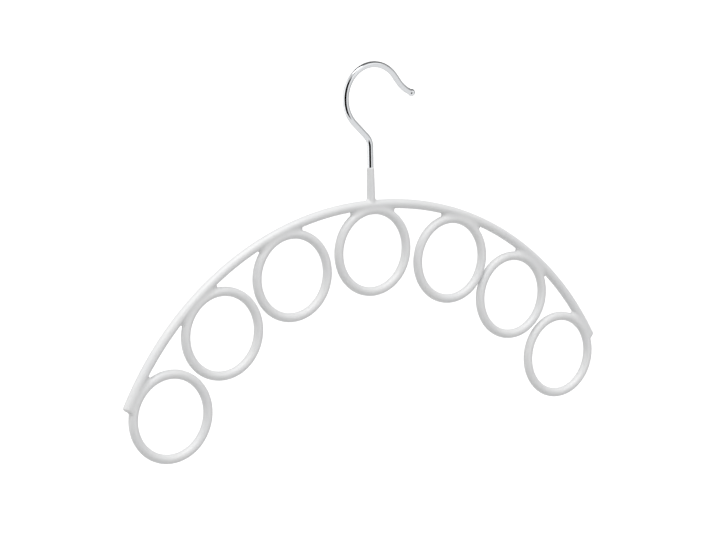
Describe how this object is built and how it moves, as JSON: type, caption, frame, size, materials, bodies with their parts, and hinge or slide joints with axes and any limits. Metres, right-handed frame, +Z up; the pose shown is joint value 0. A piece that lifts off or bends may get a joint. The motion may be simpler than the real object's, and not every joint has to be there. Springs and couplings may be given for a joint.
{
  "type": "scarf hanger",
  "caption": "Flat wire hanger: rings welded in a row under an arched rod, dipped in a soft white coat, with a fixed plated hook over the middle.",
  "frame": {"origin": "middle of the hook's arc, on the axis of the rail it hangs on", "axes": "+Z up, +X along the bow towards the hook's open side, +Y along the rail, square to the frame's plane"},
  "size_m": [0.3504, 0.0058, 0.2252],
  "materials": {
    "steel": "bare drawn steel wire, sealed under the coat",
    "plating": "bright plated steel wire, polished",
    "coat": "soft white dip coat, smooth satin gloss"
  },
  "bodies": {
    "root": {"bow_rod": "steel", "ring_wire_1": "steel", "ring_wire_2": "steel", "ring_wire_3": "steel", "ring_wire_4": "steel", "ring_wire_5": "steel", "ring_wire_6": "steel", "ring_wire_7": "steel", "hook_wire": "plating", "bow_coating": "coat", "ring_coating_1": "coat", "ring_coating_2": "coat", "ring_coating_3": "coat", "ring_coating_4": "coat", "ring_coating_5": "coat", "ring_coating_6": "coat", "ring_coating_7": "coat", "neck_coating": "coat"}
  },
  "joints": []
}
